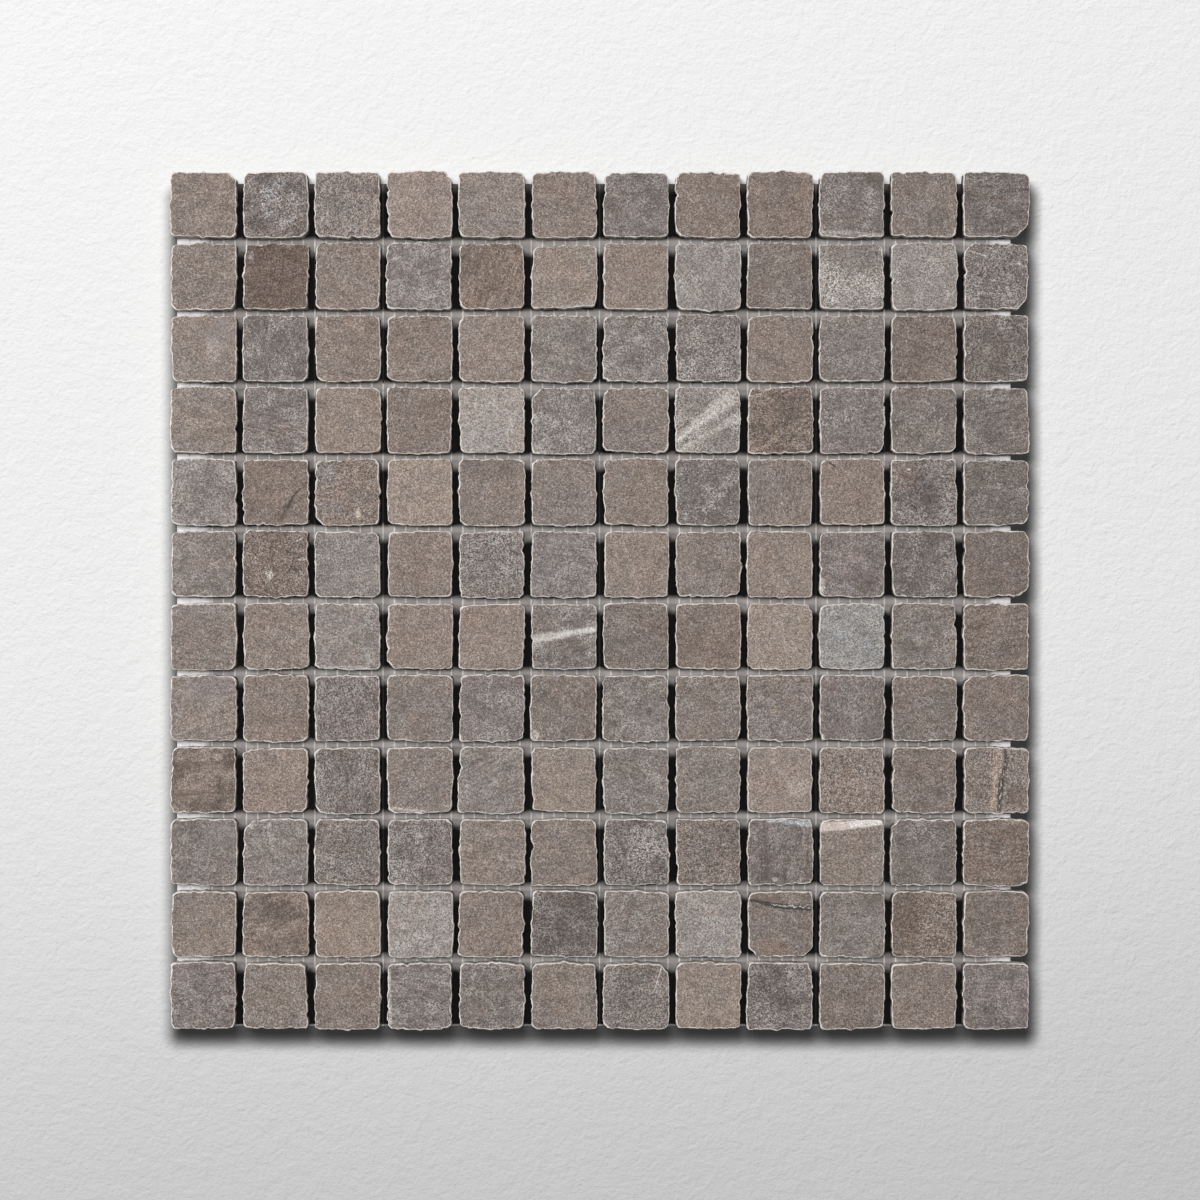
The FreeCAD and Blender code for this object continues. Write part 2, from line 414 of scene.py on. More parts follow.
markLook = {"lineRagged": 0.0016, "lineEnds": 0.0006, "spotRagged": 2.2, "raggedScale": 620.0}
veinColour = (210, 203, 196)
frostColour = (196, 199, 202)
creamColour = (222, 212, 204)
dustColour = (214, 209, 204)
crackColour = (52, 49, 48)
smearColour = (96, 86, 79)
lilacColour = (140, 132, 131)
rustColour = (150, 122, 100)
chipMarks = {
    (1, 2): [spot(at, reach, frostColour, full, 1.3, 0.95) for at, reach, full in (
        ((0.4, 0.32), (0.13, 0.16), 0.38), ((0.36, 0.6), (0.08, 0.12), 0.32),
        ((0.55, 0.18), (0.1, 0.1), 0.3), ((0.78, 0.42), (0.1, 0.1), 0.32),
        ((0.66, 0.76), (0.12, 0.09), 0.28))],
    (1, 8): [line((0.62, 0.1), (0.98, 0.34), (1.2, 2.6), smearColour, 0.4, 1.0)],
    (1, 9): [line((0.3, 0.2), (0.8, 0.12), (1.0, 2.2), smearColour, 0.35, 1.0)],
    (1, 10): [spot((0.86, 0.1), (0.22, 0.16), smearColour, 0.6),
        line((0.04, 0.93), (0.98, 0.97), (1.6, 0.8), veinColour, 0.45, 0.6, 0.6)],
    (1, 12): [line((0.1, 0.3), (0.95, 0.62), (2.0, 1.4), smearColour, 0.4, 1.0)],
    (2, 2): [spot((0.5, 0.5), (0.75, 0.75), (86, 68, 58), 0.5, 0.3, 0.15),
        spot((0.13, 0.2), (0.05, 0.09), (150, 142, 140), 0.8, 0.8, 0.5)],
    (2, 10): [spot((0.5, 0.18), (0.5, 0.26), smearColour, 0.5, 0.9, 0.9),
        spot((0.15, 0.6), (0.2, 0.4), dustColour, 0.35, 0.9, 0.9),
        spot((0.65, 0.7), (0.35, 0.25), dustColour, 0.35, 0.9, 0.9)],
    (2, 6): [line((0.38, 0.985), (0.98, 0.93), (0.6, 2.4), (176, 172, 170), 0.6, 0.6, 0.7)],
    (2, 12): [line((0.05, 0.09), (0.38, 0.2), (0.6, 0.4), veinColour, 0.7, 0.35, 0.7),
        line((0.72, 0.3), (0.88, 0.31), (0.5, 0.5), veinColour, 0.8, 0.25, 1.0),
        line((0.4, 0.55), (0.5, 0.57), (0.7, 0.5), veinColour, 0.6, 0.3, 1.2),
        line((0.2, 0.75), (0.75, 0.8), (0.7, 0.5), veinColour, 0.3, 0.4, 1.0)],
    (3, 1): [spot((0.75, 0.28), (0.26, 0.24), lilacColour, 0.5),
        spot((0.66, 0.55), (0.14, 0.22), veinColour, 0.2)],
    (3, 12): [spot((0.5, 0.6), (0.6, 0.5), smearColour, 0.45)],
    (4, 2): [line((0.05, 0.42), (0.95, 0.18), (1.6, 2.2), smearColour, 0.35, 1.2)],
    (4, 8): [line((-0.02, 0.82), (0.88, 0.12), (1.4, 5.6), (200, 194, 188), 0.62, 0.8, 0.5, 0.0, 0.1),
        line((0.02, 0.99), (1.02, 0.42), (1.2, 3.2), (200, 194, 188), 0.48, 0.8, 0.5, 0.0, 0.1),
        spot((0.72, 0.82), (0.3, 0.2), smearColour, 0.45, 0.8, 0.7),
        spot((0.25, 0.22), (0.3, 0.24), smearColour, 0.35, 0.8, 0.7),
        line((0.0, 0.85), (0.6, 0.36), (0.5, 0.8), dustColour, 0.5, 0.5, 0.5, 0.0, 0.3)],
    (4, 9): [spot((0.62, 0.28), (0.34, 0.24), (92, 80, 74), 0.45, 0.9, 0.3)],
    (4, 12): [line((0.2, 0.7), (0.9, 0.35), (1.0, 1.8), smearColour, 0.35, 1.0)],
    (5, 2): [line((0.9, 0.43), (0.78, 0.55), (0.5, 0.8), (62, 60, 62), 0.9, 0.25, 0.25, 0.8, 0.0),
        line((0.78, 0.55), (0.68, 0.76), (0.8, 0.9), (62, 60, 62), 0.9, 0.3, 0.25, 0.8, 0.0),
        line((0.68, 0.76), (0.57, 0.95), (1.1, 1.8), smearColour, 0.8, 0.5, 0.25, 0.4, 0.0),
        line((0.94, 0.46), (1.0, 0.3), (0.7, 0.7), smearColour, 0.6, 0.3, 0.25, 0.0, 0.1)],
    (5, 3): [spot((0.655, 0.83), (0.045, 0.08), (184, 170, 158), 1.0, 0.2, 0.0),
        spot((0.15, 0.22), (0.2, 0.2), (128, 128, 132), 0.45, 0.9, 0.6),
        spot((0.25, 0.75), (0.22, 0.14), (128, 128, 132), 0.45, 0.9, 0.6),
        spot((0.55, 0.35), (0.3, 0.28), (150, 132, 118), 0.2, 0.9, 0.7),
        spot((0.7, 0.55), (0.3, 0.12), (112, 104, 102), 0.4, 1.2, 0.5)],
    (5, 5): [spot((0.5, 0.05), (0.55, 0.28), smearColour, 0.35)],
    (5, 9): [spot((0.53, 0.67), (0.022, 0.022), (220, 216, 210), 0.8, 0.3, 0.2)],
    (5, 10): [line((0.14, 0.03), (0.26, 0.12), (0.6, 0.45), crackColour, 1.0, 0.25, 0.3, 0.8, 0.1)],
    (5, 11): [spot((0.52, 0.45), (0.28, 0.32), (84, 76, 76), 0.5),
        spot((0.2, 0.22), (0.24, 0.24), (140, 120, 106), 0.35, 0.9, 0.4),
        spot((0.255, 0.145), (0.035, 0.022), (214, 206, 196), 0.8, 0.9, 0.2),
        spot((0.79, 0.25), (0.016, 0.016), (222, 214, 204), 0.8, 0.3, 0.0)],
    (6, 2): [spot((0.4, 0.67), (0.07, 0.08), dustColour, 0.55, 1.8, 0.95),
        line((0.84, 0.43), (0.98, 0.42), (0.6, 0.8), dustColour, 0.8, 0.3, 1.2, 0.0, 0.9),
        line((0.44, 0.5), (0.52, 0.66), (0.4, 0.5), smearColour, 0.5, 0.3, 0.5),
        line((0.8, 0.14), (0.92, 0.1), (0.5, 0.7), dustColour, 0.6, 0.3, 1.2, 0.0, 0.9)],
    (6, 10): [spot((0.03, 0.86), (0.06, 0.14), creamColour, 0.6, 0.5, 0.6),
        spot((0.66, 0.76), (0.22, 0.16), (100, 86, 76), 0.5)],
    (7, 3): [line((0.0, 0.975), (0.85, 0.985), (1.0, 0.8), (198, 196, 194), 0.55, 0.4, 0.7),
        line((0.2, 0.62), (0.85, 0.28), (0.5, 0.8), (190, 184, 180), 0.35, 0.6, 0.9)],
    (7, 1): [line((0.06, 0.92), (0.26, 0.74), (0.4, 0.5), crackColour, 0.4, 0.4, 0.4, 0.5),
        line((0.26, 0.74), (0.52, 0.84), (0.5, 0.3), crackColour, 0.35, 0.4, 0.4, 0.5)],
    (7, 6): [line((-0.03, 0.55), (0.6, 0.46), (3.2, 2.0), (201, 193, 187), 0.75, 0.8, 0.4, 0.0, 0.12),
        line((0.4, 0.475), (1.03, 0.385), (1.4, 2.0), (214, 209, 205), 0.85, 0.6, 0.4, 0.0, 0.12),
        line((0.0, 0.585), (0.45, 0.51), (0.6, 0.5), (226, 220, 214), 0.45, 0.5, 0.6, 0.0, 0.2)],
    (7, 8): [line((0.0, 0.3), (0.45, 0.2), (1.8, 1.0), smearColour, 0.35, 1.0)],
    (7, 11): [spot((0.28, 0.7), (0.24, 0.16), smearColour, 0.4)],
    (8, 1): [spot((0.6, 0.18), (0.45, 0.26), lilacColour, 0.5)],
    (8, 6): [spot((0.05, 0.93), (0.08, 0.1), creamColour, 0.55, 0.6, 0.6)],
    (8, 9): [spot((0.4, 0.55), (0.05, 0.05), (172, 142, 112), 0.5, 0.6)],
    (8, 10): [spot((0.8, 0.8), (0.24, 0.22), smearColour, 0.5)],
    (9, 1): [line((0.0, 0.27), (1.0, 0.22), (2.0, 1.0), (88, 74, 65), 0.5, 1.0),
        line((0.0, 0.72), (1.0, 0.68), (2.2, 1.4), (88, 74, 65), 0.5, 1.2)],
    (9, 4): [line((0.0, 0.93), (0.62, 0.985), (1.2, 0.5), creamColour, 0.6, 0.4, 0.7)],
    (9, 9): [spot((0.76, 0.62), (0.18, 0.16), veinColour, 0.2)],
    (9, 12): [line((0.52, -0.02), (0.44, 0.98), (0.4, 1.5), (212, 184, 160), 0.6, 1.8, 0.5),
        line((0.59, 0.05), (0.52, 0.92), (0.5, 0.9), (220, 198, 178), 0.5, 1.0, 0.7),
        spot((0.8, 0.74), (0.2, 0.18), (88, 70, 58), 0.45, 0.5),
        spot((0.26, 0.62), (0.14, 0.26), (98, 80, 70), 0.2, 0.5),
        line((0.0, 0.985), (1.0, 0.985), (1.4, 1.4), lilacColour, 0.6, 0.4, 0.5),
        line((0.63, -0.02), (0.665, 0.22), (0.8, 1.0), (58, 50, 46), 0.8, 0.25, 0.8, 1.2, 0.3),
        line((0.665, 0.2), (0.585, 0.48), (1.1, 1.5), (58, 50, 46), 0.9, 0.25, 0.8, 1.2, 0.3),
        line((0.585, 0.46), (0.56, 0.76), (1.6, 1.8), (50, 46, 45), 1.0, 0.25, 0.8, 1.2, 0.3),
        line((0.56, 0.74), (0.545, 0.98), (1.7, 1.3), (50, 46, 45), 1.0, 0.25, 0.8, 1.2, 0.3),
        line((0.66, 0.18), (0.595, 0.46), (0.3, 0.3), (214, 208, 200), 0.7, 0.2, 1.8, 0.0, 1.0),
        line((0.59, 0.42), (0.55, 0.94), (0.4, 0.4), (214, 208, 200), 0.8, 0.2, 1.8, 0.0, 1.0)],
    (10, 1): [spot((0.78, 0.22), (0.24, 0.24), (132, 127, 125), 0.5)],
    (10, 2): [line((0.38, 0.05), (0.52, 0.6), (2.4, 1.4), veinColour, 0.22, 1.2),
        spot((0.08, 0.08), (0.1, 0.08), veinColour, 0.5, 0.5, 0.6)],
    (10, 7): [spot((0.6, 0.4), (0.3, 0.3), dustColour, 0.3, 0.9, 0.95)],
    (10, 9): [line((0.27, -0.02), (0.3, 1.02), (1.6, 1.2), (92, 81, 80), 0.55, 0.8),
        line((0.3, 0.02), (0.62, 0.02), (0.7, 0.9), (206, 211, 217), 0.8, 0.4, 0.8),
        line((0.6, 0.03), (0.98, 0.07), (1.1, 2.0), (206, 211, 217), 0.8, 0.5, 1.0),
        spot((0.42, 0.92), (0.05, 0.04), veinColour, 0.6, 0.4)],
    (10, 10): [line((-0.03, 0.115), (0.55, 0.075), (3.2, 2.9), (205, 191, 184), 0.95, 0.4, 0.35, 0.0, 0.0),
        line((0.45, 0.075), (0.98, 0.02), (2.9, 2.4), (221, 215, 210), 0.95, 0.4, 0.35, 0.0, 0.0),
        line((-0.03, 0.02), (0.4, -0.01), (0.7, 0.3), (122, 104, 94), 0.8, 0.4, 0.6),
        line((-0.03, 0.195), (0.6, 0.15), (0.5, 0.3), (160, 130, 108), 0.35, 0.4),
        line((0.3, 0.245), (1.0, 0.215), (0.2, 0.25), crackColour, 0.35, 0.3, 0.4, 0.4, 0.1)],
    (11, 9): [line((0.03, 0.12), (0.42, 0.21), (0.9, 1.6), (54, 55, 57), 0.95, 0.25, 0.7, 1.2, 0.25),
        line((0.38, 0.205), (1.0, 0.265), (1.9, 1.7), (54, 55, 57), 1.0, 0.25, 0.7, 1.2, 0.25),
        line((0.36, 0.195), (1.0, 0.245), (0.45, 0.4), (222, 219, 214), 0.85, 0.2, 1.6, 0.0, 1.0),
        line((0.0, 0.06), (0.6, 0.15), (1.2, 1.6), (112, 93, 80), 0.5, 0.8),
        spot((0.35, 0.85), (0.25, 0.14), rustColour, 0.3, 0.8)],
    (11, 6): [spot((0.5, 0.5), (0.7, 0.7), (84, 73, 68), 0.4, 0.4, 0.3)],
    (11, 10): [spot((0.82, 0.14), (0.22, 0.16), smearColour, 0.4)],
    (11, 11): [spot((0.18, 0.45), (0.26, 0.55), (88, 77, 71), 0.5),
        line((0.6, 0.98), (0.88, 0.66), (0.25, 0.25), veinColour, 0.4, 0.25, 0.5),
        line((0.5, 0.6), (0.72, 0.4), (0.25, 0.2), veinColour, 0.35, 0.25, 0.5)],
    (12, 4): [line((0.03, 0.08), (0.05, 0.95), (0.8, 1.1), veinColour, 0.6, 0.4, 0.7)],
    (12, 7): [line((0.9, 0.04), (0.84, 0.24), (0.45, 0.45), veinColour, 0.85, 0.2, 0.3, 0.0, 0.2),
        line((0.84, 0.24), (0.79, 0.4), (0.45, 0.3), veinColour, 0.8, 0.2, 0.3, 0.0, 0.2),
        line((0.84, 0.1), (0.8, 0.22), (0.3, 0.2), veinColour, 0.5, 0.2, 0.3, 0.0, 0.2)],
    (12, 8): [spot((0.72, 0.15), (0.08, 0.06), (100, 96, 91), 0.5, 0.6)],
    (12, 10): [line((0.12, 0.42), (0.22, 0.44), (0.5, 0.4), crackColour, 0.6, 0.3)],
}


def lineMask(tree, where, place, mark, ragged):
    start, end = (chipPoint(place, *point) for point in mark["line"])
    along = (end - start).normalized()
    aside = Vector((-along.y, along.x, 0.0))
    offset = vectorMaths(tree, "SUBTRACT", where, tuple(start))
    away = vectorMaths(tree, "DOT_PRODUCT", offset, tuple(aside))
    travelled = vectorMaths(tree, "DOT_PRODUCT", offset, tuple(along))
    length = (end - start).length
    away = plus(tree, away, times(tree, ragged, markLook["lineRagged"] * mark["rough"]))
    first, last = (width / 2000 for width in mark["width"])
    half = spread(tree, travelled, 0.0, length, first, last)
    soft = mark["soft"] / 1000
    near = minus(tree, half, maths(tree, "ABSOLUTE", away))
    mask = spread(tree, near, -soft, soft, smooth=True)
    ends = markLook["lineEnds"]
    begun = spread(tree, travelled, -ends, ends)
    ended = spread(tree, travelled, length + ends, length - ends)
    return times(tree, mask, times(tree, begun, ended))


def spotMask(tree, where, place, mark, ragged):
    middle = chipPoint(place, *mark["spot"])
    reach = [sheet["chipSide"] * part for part in mark["reach"]]
    offset = vectorMaths(tree, "SUBTRACT", where, tuple(middle))
    offset = vectorMaths(tree, "MULTIPLY", offset, (1 / reach[0], 1 / reach[1], 0.0))
    away = vectorMaths(tree, "LENGTH", offset)
    away = plus(tree, away, times(tree, ragged, markLook["spotRagged"] * mark["rough"]))
    return spread(tree, away, 1.25, 0.55, smooth=True)


def stoneMaterial(name, place=None):
    material, tree, shader = newMaterial(name)
    bed, base, look, wearAndPaintedLight = (addNode(tree, "Attribute", {"attribute_name": name}).outputs
                             for name in ("bed", "stoneColour", "stoneLook", "wearAndPaintedLight"))
    bed, base, wearAndPaintedLight = bed["Vector"], base["Color"], wearAndPaintedLight["Fac"]
    parts = addNode(tree, "SeparateColor", None, {0: look["Color"]})
    cloudy, streaky, stained, coarse = parts.outputs[0], parts.outputs[1], parts.outputs[2], look["Alpha"]
    s = stoneLook

    grain = grainField(tree, bed, s["grainScale"], 2.0, 0.65)
    crystal = addNode(tree, "TexVoronoi", None, {"Vector": bed, "Scale": s["crystalScale"]}).outputs["Color"]
    crystal = addNode(tree, "SeparateColor", None, {0: crystal}).outputs[0]
    fine = grainField(tree, bed, s["fineScale"], 1.0, 0.5)
    mottle = grainField(tree, bed, s["mottleScale"], 4.0, 0.65, 0.3)
    laid = vectorMaths(tree, "MULTIPLY", bed, (s["streakReach"], 1.0, 0.5))
    streak = grainField(tree, laid, s["streakScale"], 4.0, 0.7, 0.5)
    patch = grainField(tree, bed, s["patchScale"], 3.0, 0.55, 0.5)

    # brightness: grain, crystals, mottling and bedding
    level = times(tree, centred(tree, grain), s["grainDepth"])
    level = plus(tree, level, times(tree, centred(tree, crystal), s["crystalDepth"]))
    level = times(tree, level, coarse)
    level = plus(tree, level, times(tree, centred(tree, mottle), s["mottleDepth"]))
    laidLevel = times(tree, times(tree, centred(tree, streak), s["streakDepth"]), streaky)
    level = times(tree, plus(tree, level, laidLevel), 1 / s["sharpness"])
    level = maths(tree, "MAXIMUM", plus(tree, level, 0.995), 0.1)
    level = maths(tree, "POWER", level, s["sharpness"])
    colour = darkened(tree, base, level)
    drift = spread(tree, grainField(tree, bed, s["driftScale"], 3.0, 0.6, 0.4), 0.40, 0.60)
    colour = mixColour(tree, 1.0, colour, mixColour(tree, drift, s["coolTint"], s["warmTint"]), "MULTIPLY")

    # thin dark seams that wander along the bedding, in patches
    wander = vectorMaths(tree, "MULTIPLY", bed, (s["seamReach"], 1.0, 0.6))
    seam = maths(tree, "ABSOLUTE", centred(tree, grainField(tree, wander, s["seamScale"], 3.0, 0.55, 0.7)))
    seam = spread(tree, seam, 0.0, s["seamWidth"], 1.0, 0.0)
    seam = times(tree, seam, spread(tree, patch, 0.50, 0.60))
    seam = times(tree, seam, times(tree, streaky, 1.5))
    colour = mixColour(tree, times(tree, seam, 1.0, True), colour, linear(*s["darkStain"]))

    # stains, rusty flecks, pale dust gathered in clouds, and single pale grains
    stain = times(tree, spread(tree, patch, 0.56, 0.40, smooth=True), stained)
    colour = mixColour(tree, times(tree, stain, s["stainFull"]), colour, linear(*s["darkStain"]))
    fleck = spread(tree, grainField(tree, bed, s["fleckScale"], 2.0, 0.6), 0.62, 0.70)
    colour = mixColour(tree, times(tree, fleck, s["fleckFull"]), colour, linear(*s["rust"]))
    cloud = spread(tree, grainField(tree, bed, s["cloudScale"], 4.0, 0.65, 0.8), 0.45, 0.64, smooth=True)
    sharpGrain = plus(tree, grain, times(tree, centred(tree, crystal), 0.30))
    dust = spread(tree, sharpGrain, 0.46, 0.62)
    cloud = times(tree, times(tree, cloud, dust), cloudy)
    colour = mixColour(tree, times(tree, cloud, s["cloudFull"], True), colour, linear(*s["paleDust"]))
    speck = spread(tree, grainField(tree, bed, s["speckScale"], 1.0, 0.5), 0.68, 0.76)
    glintMore = spread(tree, mottle, 0.40, 0.62, 0.15, 0.75)
    glint = times(tree, spread(tree, crystal, 0.93, 0.96), glintMore)
    speck = maths(tree, "MAXIMUM", speck, glint)
    colour = mixColour(tree, times(tree, speck, s["speckFull"]), colour, linear(*s["paleDust"]))

    height = plus(tree, times(tree, grain, 0.8), times(tree, mottle, 1.2))
    height = plus(tree, height, times(tree, fine, 0.3))
    height = minus(tree, height, times(tree, seam, 0.8))

    # the marks of this chip alone
    if place:
        where = objectPlace(tree)
        ragged = centred(tree, grainField(tree, where, markLook["raggedScale"], 3.0, 0.6))
        for mark in chipMarks[place]:
            maskOf = lineMask if "line" in mark else spotMask
            mask = maskOf(tree, where, place, mark, ragged)
            held = spread(tree, sharpGrain, 0.40, 0.60, 1 - mark["grainy"], 1.0)
            mask = times(tree, mask, held)
            tinted = mixColour(tree, 0.5, linear(*mark["colour"]), grey(tree, level), "MULTIPLY")
            colour = mixColour(tree, times(tree, mask, mark["full"]), colour, tinted)
            if mark["depth"]:
                height = minus(tree, height, times(tree, mask, 2.0 * mark["depth"]))

    # the worn arris is bruised pale; the same attribute also carries the pale painted on the chips' walls as
    # painted light
    broken = centred(tree, grainField(tree, bed, s["rimScale"], 4.0, 0.65))
    rim = plus(tree, wearAndPaintedLight, times(tree, broken, s["rimRagged"]))
    rim = spread(tree, rim, 0.58, 0.84, smooth=True)
    colour = mixColour(tree, times(tree, rim, s["rimFull"]), colour, linear(*s["rimPale"]))

    tree.links.new(colour, shader.inputs["Base Color"])
    tree.links.new(spread(tree, grain, 0.3, 0.7, 0.72, 0.92), shader.inputs["Roughness"])
    shader.inputs["Specular IOR Level"].default_value = 0.28
    addBump(tree, shader, height, 0.55, s["relief"])
    return material


# chips: one blank is modelled and copied, and each copy is worn to its own outline

blank = {
    "half": 0.01145,
    "height": 0.0095,
    "cells": 34,               # along each side of the face
    "arris": 0.0005,
    # each ring below the face: how far out of the face's edge, how far down, wear
    "rings": [(0.00025, 0.00006, 1.0), (0.00042, 0.00022, 1.0), (0.0005, 0.0005, 0.75),
              (0.0005, 0.0013, 0.25), (0.0005, 0.0038, 0.12), (0.0005, 0.0066, 0.10),
              (0.0005, 0.0091, 0.35)],
    "edgeWear": 0.30,
    "paintedLightTopWalls": 0.92,              # painted light: the pale painted on the walls that face the top of the sheet
    "paintedLightBottomWalls": 0.66,         # painted light: the pale painted on those that face its bottom, to lift their shade
    "topArrisPaintedShade": (0.62, 0.045), # painted shade on the top arris: how much of its wear is kept, and how much more so each row down
    "backInset": 0.0003,
}


def modelBlank():
    half, cells = blank["half"], blank["cells"]
    faceHalf = half - blank["arris"]
    clearSelection()
    bpy.ops.mesh.primitive_grid_add(x_subdivisions=cells, y_subdivisions=cells, size=2 * faceHalf,
                                    location=(0.0, 0.0, blank["height"]))
    piece = bpy.context.object
    applyPlace(piece)
    wearAndPaintedLight = [0.0] * len(piece.data.vertices)
    bpy.ops.object.mode_set(mode="EDIT")
    bpy.ops.mesh.select_mode(type="EDGE")
    bpy.ops.mesh.select_all(action="SELECT")
    bpy.ops.mesh.region_to_loop()
    around = 4 * cells
    outNow, downNow = 0.0, 0.0
    for out, down, worn in blank["rings"]:
        bpy.ops.mesh.extrude_edges_move(TRANSFORM_OT_translate={"value": (0.0, 0.0, downNow - down)})
        size = (faceHalf + out) / (faceHalf + outNow)
        bpy.ops.transform.resize(value=(size, size, 1.0), center_override=(0.0, 0.0, 0.0))
        outNow, downNow = out, down
        wearAndPaintedLight += [worn] * around
    bpy.ops.mesh.extrude_edges_move(TRANSFORM_OT_translate={"value": (0.0, 0.0, downNow - blank["height"])})
    size = (half - blank["backInset"]) / half
    bpy.ops.transform.resize(value=(size, size, 1.0), center_override=(0.0, 0.0, 0.0))
    wearAndPaintedLight += [0.35] * around
    bpy.ops.mesh.edge_face_add()
    bpy.ops.mesh.select_all(action="SELECT")
    bpy.ops.mesh.normals_make_consistent(inside=False)
    bpy.ops.object.mode_set(mode="OBJECT")
    # wear, and the groups that the roughening works on, by how far out each point is
    for name in ("arris", "flank", "face"):
        piece.vertex_groups.new(name=name)
    for vertex in piece.data.vertices:
        reach = max(abs(vertex.co.x), abs(vertex.co.y))
        down = blank["height"] - vertex.co.z
        if down < 1e-6 and reach < faceHalf - 1e-6:
            piece.vertex_groups["face"].add([vertex.index], 1.0, "REPLACE")
        elif down < 1e-6:
            piece.vertex_groups["arris"].add([vertex.index], 1.0, "REPLACE")
            wearAndPaintedLight[vertex.index] = blank["edgeWear"]
        elif down < 0.0014:
            piece.vertex_groups["arris"].add([vertex.index], 1.0, "REPLACE")
        elif down < blank["height"] - 1e-5:
            piece.vertex_groups["flank"].add([vertex.index], 1.0, "REPLACE")
    attribute = piece.data.attributes.new("wearAndPaintedLight", "FLOAT", "POINT")
    attribute.data.foreach_set("value", wearAndPaintedLight)
    return piece


# outlines of a row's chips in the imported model: their lowest points, in order round each
def readOutlines(node):
    lowest = min(vertex.co.z for vertex in node.data.vertices)
    points, tops = {}, {}
    for vertex in node.data.vertices:
        column = int(vertex.co.x / sheet["pitch"] + 6) + 1
        tops[column] = max(tops.get(column, 0.0), vertex.co.z)
        if vertex.co.z < lowest + 1e-5:
            points.setdefault(column, set()).add((round(vertex.co.x, 7), round(vertex.co.y, 7)))
    outlines = {}
    for column, found in points.items():
        middle = sum((Vector(point) for point in found), Vector((0.0, 0.0))) / len(found)
        ordered = sorted(found, key=lambda point: math.atan2(point[1] - middle.y, point[0] - middle.x))
        outlines[column] = (middle, [Vector(point) for point in ordered], lowest, tops[column])
    return outlines


# where a ray from the middle of the chip leaves its outline
def outlineReach(middle, outline, direction):
    for index, start in enumerate(outline):
        side = outline[(index + 1) % len(outline)] - start
        cross = direction.x * side.y - direction.y * side.x
        if abs(cross) < 1e-12:
            continue
        offset = start - middle
        reach = (offset.x * side.y - offset.y * side.x) / cross
        part = (offset.x * direction.y - offset.y * direction.x) / cross
        if reach > 0 and -1e-9 <= part <= 1 + 1e-9:
            return reach
    return blank["half"]


wornShape = {
    "softening": 1,            # times that the outline is evened, to round its corners
    "cornerFill": 0.00030, "cornerReach": 0.14,
    "drift": 0.00032, "driftScale": 0.0060,
    "nick": 0.00034, "nickScale": 0.0016,
    "chip": 0.0013, "chipScale": 0.0024, "chipFrom": 0.30,
    "leastArris": 0.35, "mostArris": 1.5, "arrisScale": 0.0026,
}


def squareAngle(a, b):
    # how far round the unit square a point is, 0 to 8 from its lower right corner
    if a >= abs(b):
        return b / max(a, 1e-9) + 1
    if b >= abs(a):
        return 3 - a / b
    if -a >= abs(b):
        return 5 - b / -a
    return 7 + a / -b


def squarePlace(turn):
    # the place on the unit square that is so far round it
    if turn < 2:
        return (1, turn - 1)
    if turn < 4:
        return (3 - turn, 1)
    if turn < 6:
        return (-1, 5 - turn)
    return (turn - 7, -1)


def wornOutline(middle, outline, chance):
    steps = 4 * blank["cells"]
    shift = Vector((chance.uniform(-9, 9), chance.uniform(-9, 9), chance.uniform(-9, 9)))
    strength = chance.uniform(0.6, 1.35)
    points = []
    for step in range(steps):
        direction = Vector(squarePlace(8 * step / steps))
        points.append(middle + direction * outlineReach(middle, outline, direction))
    for _ in range(wornShape["softening"]):
        points = [points[i - 1] * 0.25 + points[i] * 0.5 + points[(i + 1) % steps] * 0.25
                  for i in range(steps)]
    worn = []
    for point in points:
        place = Vector((point.x, point.y, 0.0))
        drift = noise.noise(place / wornShape["driftScale"] + shift) * wornShape["drift"]
        nick = noise.noise(place / wornShape["nickScale"] - shift) * wornShape["nick"]
        struck = noise.noise(place / wornShape["chipScale"] + 2 * shift)
        struck = max(struck - wornShape["chipFrom"], 0.0) * wornShape["chip"]
        outward = (point - middle).normalized()
        nearCorner = max(1 - abs(8 * len(worn) / steps % 2 - 1) / wornShape["cornerReach"], 0.0)
        filled = wornShape["cornerFill"] * nearCorner
        worn.append(point + outward * (strength * (drift + nick - struck) + filled))
    arris = []
    for point in points:
        level = noise.noise(Vector((point.x, point.y, 0.004)) / wornShape["arrisScale"] + shift) * 0.5 + 0.5
        low, high = wornShape["leastArris"], wornShape["mostArris"]
        arris.append(low + (high - low) * min(max((level - 0.2) / 0.6, 0.0), 1.0))
    return worn, arris


def chipColours(place, chance):
    kinds = [kind for kind, facts in stoneKinds.items() if "likely" in facts]
    drawn = chance.choices(kinds, [stoneKinds[kind]["likely"] for kind in kinds])[0]
    kind = stoneKinds[kindOfChip.get(place, drawn)]
    tone = 1 + toneStep * (lighterChips.count(place) - darkerChips.count(place))
    tone += chance.uniform(-toneScatter, toneScatter)
    warmth = chance.uniform(-0.015, 0.015)
    red, green, blue, _ = linear(*kind["colour"])
    colour = (red * tone * (1 + warmth), green * tone, blue * tone * (1 - warmth), 1.0)
    look = [kind[name] * chance.uniform(0.5, 1.5) for name in ("cloud", "streak", "dark")]
    look.append(coarseGrain if place in coarseChips else plainGrain)
    return colour, look


